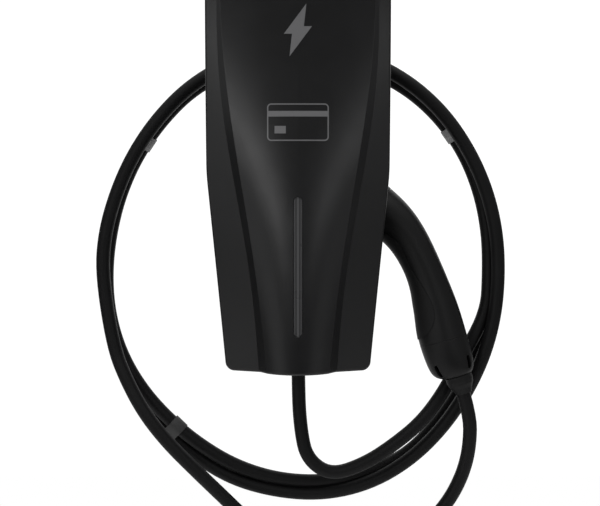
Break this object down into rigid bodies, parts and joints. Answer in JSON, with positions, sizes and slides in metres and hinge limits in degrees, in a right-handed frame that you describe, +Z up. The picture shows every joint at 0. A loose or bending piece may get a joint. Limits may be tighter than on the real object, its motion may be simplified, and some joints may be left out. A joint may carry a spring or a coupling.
{
  "type": "ev wallbox",
  "caption": "Wall-mounted car charging station with a light bar, a tethered cable coiled over its rear core and a plug held in a side holster.",
  "frame": {"origin": "centre of the four wall-screw holes, in the wall plane at the back face of the wall bracket", "axes": "+Z up, -Y out from the wall to the user, +Y into the wall, +X to the right of someone facing it"},
  "size_m": [0.48, 0.1432, 0.6879],
  "materials": {
    "cover_black": "satin black moulding, fine grain",
    "housing_black": "satin black moulding",
    "light_smoke": "smoked translucent light bar",
    "board_green": "solder mask",
    "board_white": "white solder mask",
    "seal_black": "foam rubber",
    "bracket_steel": "zinc-plated sheet",
    "screw_steel": "plated screw",
    "gland_plastic": "fibre-filled plastic",
    "relay_dark": "moulded relay case",
    "transformer_yellow": "taped windings",
    "capacitor_sleeve": "sleeved can",
    "terminal_grey": "moulded terminal block",
    "sensor_core": "potted ring",
    "shield_can": "tinned shield",
    "antenna_white": "ceramic strip",
    "wire_black": "wire insulation",
    "holster_black": "satin black moulding",
    "plug_black": "satin black moulding",
    "grip_rubber": "soft grip",
    "nose_black": "contact insert",
    "contact_silver": "silver-plated copper",
    "cable_black": "cable sheath",
    "strap_grey": "hook-and-loop band"
  },
  "bodies": {
    "root": {"board_screws": "screw_steel", "bracket_lock_screws": "screw_steel", "cable_coil": "cable_black", "cable_drop": "cable_black", "cable_strap_1": "strap_grey", "cable_strap_2": "strap_grey", "cable_strap_3": "strap_grey", "cable_tail": "cable_black", "capacitors": "capacitor_sleeve", "card_reader_board": "board_green", "control_board": "board_green", "control_board_cans": "shield_can", "cover_screws": "screw_steel", "cover_seal": "seal_black", "front_cover": "cover_black", "gland_body": "gland_plastic", "gland_boot": "seal_black", "gland_lock_nut": "gland_plastic", "gland_nut": "gland_plastic", "gland_seal": "seal_black", "holster": "holster_black", "holster_screws": "screw_steel", "input_terminals": "terminal_grey", "leakage_sensor": "sensor_core", "light_board": "board_white", "light_pipe": "light_smoke", "output_terminals": "terminal_grey", "output_wires": "wire_black", "plug_boot": "grip_rubber", "plug_collar": "plug_black", "plug_contacts": "contact_silver", "plug_grip_pad": "grip_rubber", "plug_nose": "nose_black", "plug_screws": "screw_steel", "plug_shell_back": "plug_black", "plug_shell_front": "plug_black", "power_board": "board_green", "radio_antenna": "antenna_white", "rear_housing": "housing_black", "relays": "relay_dark", "supply_grommet": "seal_black", "supply_transformer": "transformer_yellow", "vent_plug": "gland_plastic", "wall_bracket": "bracket_steel"}
  },
  "joints": []
}
